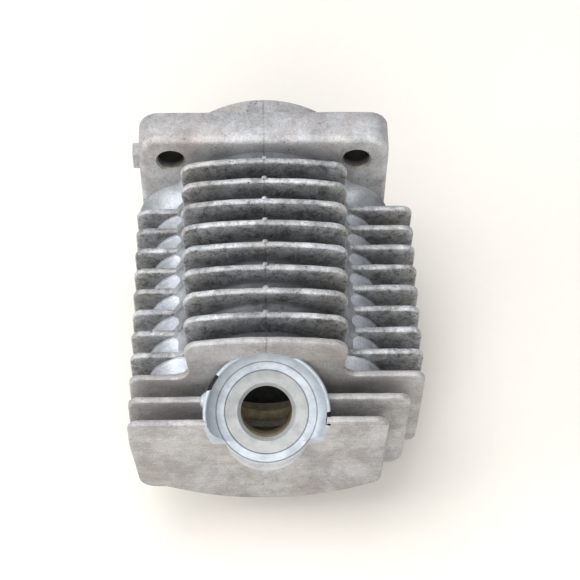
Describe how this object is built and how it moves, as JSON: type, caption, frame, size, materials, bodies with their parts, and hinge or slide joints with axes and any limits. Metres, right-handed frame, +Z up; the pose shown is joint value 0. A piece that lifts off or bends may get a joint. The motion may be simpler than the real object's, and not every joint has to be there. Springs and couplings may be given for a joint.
{
  "type": "cylinder head",
  "caption": "Air-cooled two-stroke cylinder with the head cast in one piece: finned barrel, square base flange, open bore and skirt, inclined spark plug seat, exhaust flange.",
  "frame": {"origin": "on the bore axis, in the plane of the crankcase face of the base flange", "axes": "+Z up as the part lies on its exhaust side; +Y along the bore, out of its open end; the head and plug seat are toward -Y; +X to the right seen from the head end"},
  "size_m": [0.0747, 0.0992, 0.065],
  "materials": {
    "cast_skin": "as-cast, satin",
    "cast_root": "as-cast, dull, sooty in the gaps",
    "cast_fin": "as-cast, worn bright on the edges",
    "milled_seat": "milled",
    "machined_bore": "bored and honed"
  },
  "bodies": {
    "root": {"base_flange": "cast_skin", "bore_lining": "machined_bore", "barrel": "cast_root", "transfer_duct_left": "cast_skin", "transfer_duct_right": "cast_skin", "cylinder_head": "cast_root", "plug_boss": "milled_seat", "exhaust_port": "cast_skin", "fin_01": "cast_fin", "fin_02": "cast_fin", "fin_03": "cast_fin", "fin_04": "cast_fin", "fin_05": "cast_fin", "fin_06": "cast_fin", "fin_07": "cast_fin", "fin_08": "cast_fin", "fin_09": "cast_fin", "fin_10": "cast_fin", "fin_11": "cast_fin"}
  },
  "joints": []
}
